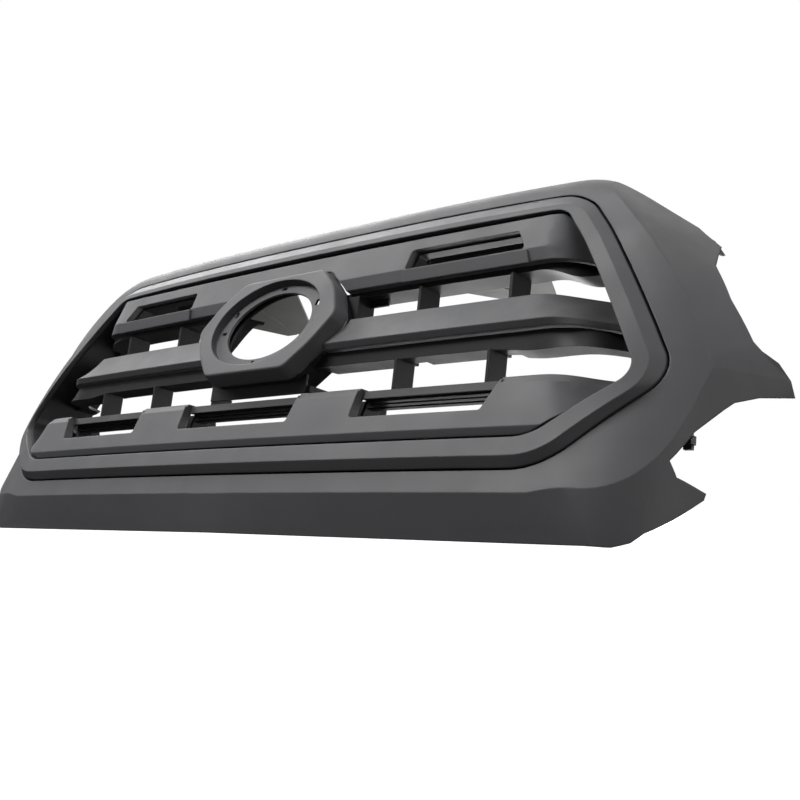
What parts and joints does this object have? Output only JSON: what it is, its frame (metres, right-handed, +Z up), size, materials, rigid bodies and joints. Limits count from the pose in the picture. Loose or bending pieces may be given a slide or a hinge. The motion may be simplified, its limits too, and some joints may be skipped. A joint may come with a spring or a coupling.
{
  "type": "front grille",
  "caption": "Pickup front grille: wide moulded surround, inner ring, three horizontal bars and an open oval emblem seat on a black carrier.",
  "frame": {"origin": "centre of the emblem recess rim, on the middle plane of the grille", "axes": "+X across the truck (to the right as seen from the front), +Y towards the rear of the truck, +Z up; the face leans back about 28 degrees"},
  "size_m": [1.1542, 0.3436, 0.3752],
  "materials": {
    "charcoal_plastic": "fine-grained matte, mould-in-colour charcoal grey",
    "black_plastic": "plain matte black",
    "black_steel": "black oxide"
  },
  "bodies": {
    "root": {"surround_shell": "charcoal_plastic", "surround_ring": "charcoal_plastic", "upper_bar": "charcoal_plastic", "middle_bar_right": "charcoal_plastic", "middle_bar_left": "charcoal_plastic", "lower_bar": "charcoal_plastic", "emblem_seat": "charcoal_plastic", "seat_collar": "black_plastic", "upper_rail_right": "black_plastic", "upper_rail_left": "black_plastic", "middle_rail_right": "black_plastic", "middle_rail_left": "black_plastic", "lower_rail": "black_plastic", "upper_blades": "black_plastic", "lower_blades": "black_plastic", "carrier_frame": "black_plastic", "upper_slot_frame_right": "black_plastic", "upper_slot_frame_left": "black_plastic", "lower_slot_frame_right": "black_plastic", "lower_slot_frame_centre": "black_plastic", "lower_slot_frame_left": "black_plastic", "inner_shelf_right": "black_plastic", "outer_shelf_right": "black_plastic", "inner_shelf_left": "black_plastic", "outer_shelf_left": "black_plastic", "side_bracket_right": "black_plastic", "side_bracket_left": "black_plastic", "side_clip_right": "black_plastic", "side_clip_left": "black_plastic", "screws": "black_steel"}
  },
  "joints": []
}
